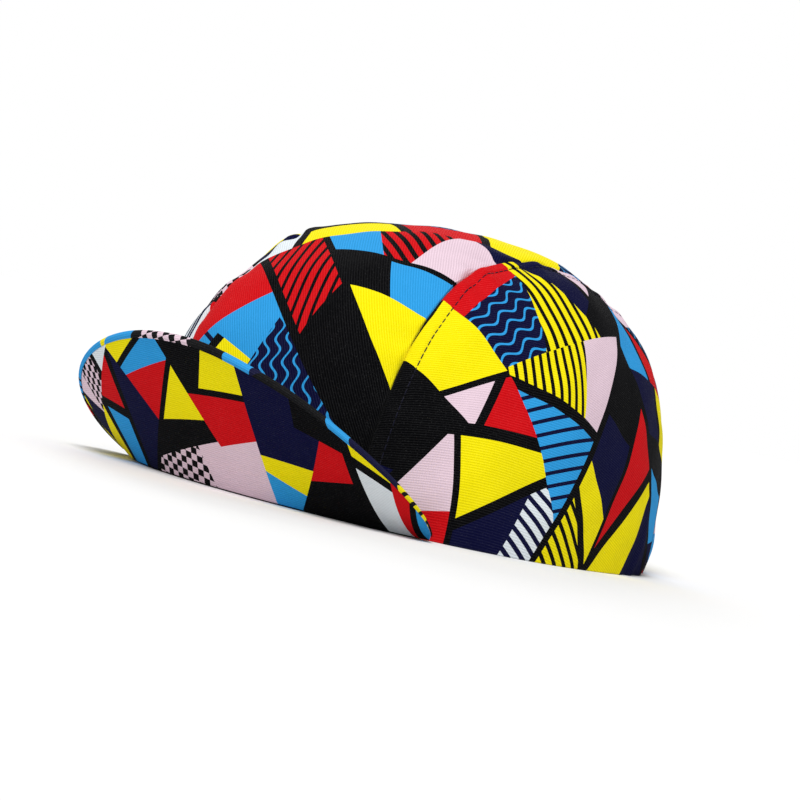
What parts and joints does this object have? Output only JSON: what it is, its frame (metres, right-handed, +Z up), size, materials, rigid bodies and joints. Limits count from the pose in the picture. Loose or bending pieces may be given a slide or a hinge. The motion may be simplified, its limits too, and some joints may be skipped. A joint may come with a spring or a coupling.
{
  "type": "cycling cap",
  "caption": "Close-fitting fabric cap made of a centre strip and side panels, with a short peak turned up at the forehead, a lining and an elastic sweatband.",
  "frame": {"origin": "middle of the cap's bounding box, on the surface that its rim rests on", "axes": "+Z up through the crown; the peak stands at -Y and the nape is at +Y; +X is the wearer's left"},
  "size_m": [0.166, 0.2278, 0.1023],
  "materials": {
    "side_print": "twill cotton printed with blocks of navy, yellow, red, blue, pink and black",
    "strip_print": "twill cotton printed with blocks of yellow, pink, red, navy and black",
    "peak_under_print": "stiffened twill cotton printed with blocks of yellow, blue, red, navy and black",
    "peak_top_print": "stiffened twill cotton printed with blocks of pale pink, red and navy",
    "lining_cloth": "plain charcoal cotton",
    "band_cloth": "black ribbed sweatband cloth",
    "elastic_cloth": "black woven elastic"
  },
  "bodies": {
    "root": {"crown_left": "side_print", "crown_right": "side_print", "crown_centre": "strip_print", "lining": "lining_cloth", "sweatband": "band_cloth", "nape_elastic": "elastic_cloth", "peak_under": "peak_under_print", "peak_top": "peak_top_print"}
  },
  "joints": []
}
